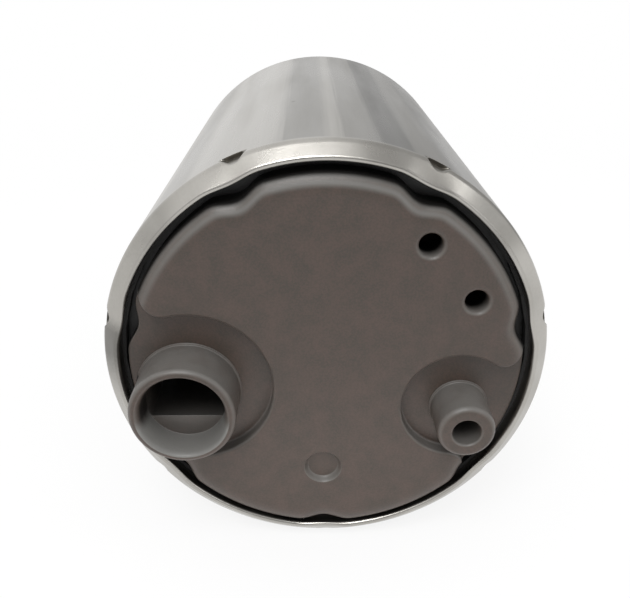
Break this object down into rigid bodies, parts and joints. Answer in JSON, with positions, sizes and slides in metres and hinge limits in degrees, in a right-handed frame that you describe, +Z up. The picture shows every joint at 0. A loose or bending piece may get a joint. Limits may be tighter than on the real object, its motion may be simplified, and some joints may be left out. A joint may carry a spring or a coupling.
{
  "type": "fuel pump",
  "caption": "Round in-tank electric fuel pump: rolled steel can, moulded inlet cover with a wide spout and a small nipple, hose outlet and plug socket at the far end.",
  "frame": {"origin": "middle of the can on the pump's axis, where a clamp or sleeve holds it", "axes": "+Y along the pump's axis from the inlet end to the outlet end, +Z up as the pump lies, +X to the right seen from the inlet"},
  "size_m": [0.038, 0.0738, 0.038],
  "materials": {
    "case_steel": "drawn, bright",
    "cover_plastic": "moulded, fine grain",
    "cap_plastic": "moulded",
    "seal_rubber": "matt",
    "wheel_plastic": "moulded",
    "bearing_bronze": "sintered",
    "button_ceramic": "polished",
    "ground_steel": "ground",
    "lamination_steel": "stamped",
    "winding_copper": "enamelled",
    "brush_carbon": "pressed",
    "ferrite": "sintered",
    "spring_steel": "drawn",
    "terminal_brass": "plain",
    "natural_plastic": "moulded"
  },
  "bodies": {
    "housing": {"case_shell": "case_steel", "inlet_cover": "cover_plastic", "cover_seal": "seal_rubber", "guide_ring": "ground_steel", "pump_body": "cover_plastic", "pump_bearing": "bearing_bronze", "cap_bearing": "bearing_bronze", "thrust_button": "button_ceramic", "flux_ring": "case_steel", "magnet_left": "ferrite", "magnet_right": "ferrite", "magnet_clip_top": "spring_steel", "magnet_clip_bottom": "spring_steel", "outlet_cap": "cap_plastic", "cap_seal": "seal_rubber", "brush_spring_left": "spring_steel", "brush_spring_right": "spring_steel", "terminal_left": "terminal_brass", "terminal_right": "terminal_brass", "choke_core_left": "ferrite", "choke_core_right": "ferrite", "choke_coil_left": "winding_copper", "choke_coil_right": "winding_copper", "valve_seat": "natural_plastic", "valve_spring": "spring_steel", "relief_seat": "terminal_brass", "relief_spring": "spring_steel"},
    "rotor": {"rotor_shaft": "ground_steel", "impeller": "wheel_plastic", "lower_washer": "ground_steel", "lower_spacer": "natural_plastic", "armature_core": "lamination_steel", "armature_windings": "winding_copper", "upper_spacer": "natural_plastic", "commutator": "brush_carbon", "upper_washer": "ground_steel"},
    "brush_left": {"brush_left": "brush_carbon"},
    "brush_right": {"brush_right": "brush_carbon"},
    "check_valve": {"valve_poppet": "natural_plastic", "valve_seal": "seal_rubber"},
    "relief_valve": {"relief_ball": "ground_steel"}
  },
  "joints": [
    {"name": "rotor_spin", "type": "hinge", "parent": "housing", "child": "rotor", "pos_m": [0, 0, 0], "axis": [0, 1, 0], "continuous": true},
    {"name": "brush_left_slide", "type": "slide", "parent": "housing", "child": "brush_left", "axis": [0, 1, 0], "range_m": [0, 0.0022], "stiffness_N_per_m": 60, "springref_m": -0.004, "deforming": ["brush_spring_left"]},
    {"name": "brush_right_slide", "type": "slide", "parent": "housing", "child": "brush_right", "axis": [0, 1, 0], "range_m": [0, 0.0022], "stiffness_N_per_m": 60, "springref_m": -0.004, "deforming": ["brush_spring_right"]},
    {"name": "check_valve_slide", "type": "slide", "parent": "housing", "child": "check_valve", "axis": [0, 1, 0], "range_m": [0, 0.0018], "stiffness_N_per_m": 40, "springref_m": -0.003, "deforming": ["valve_spring"]},
    {"name": "relief_slide", "type": "slide", "parent": "housing", "child": "relief_valve", "axis": [0, 1, 0], "range_m": [0, 0.0008], "stiffness_N_per_m": 100, "springref_m": -0.002, "deforming": ["relief_spring"]}
  ]
}
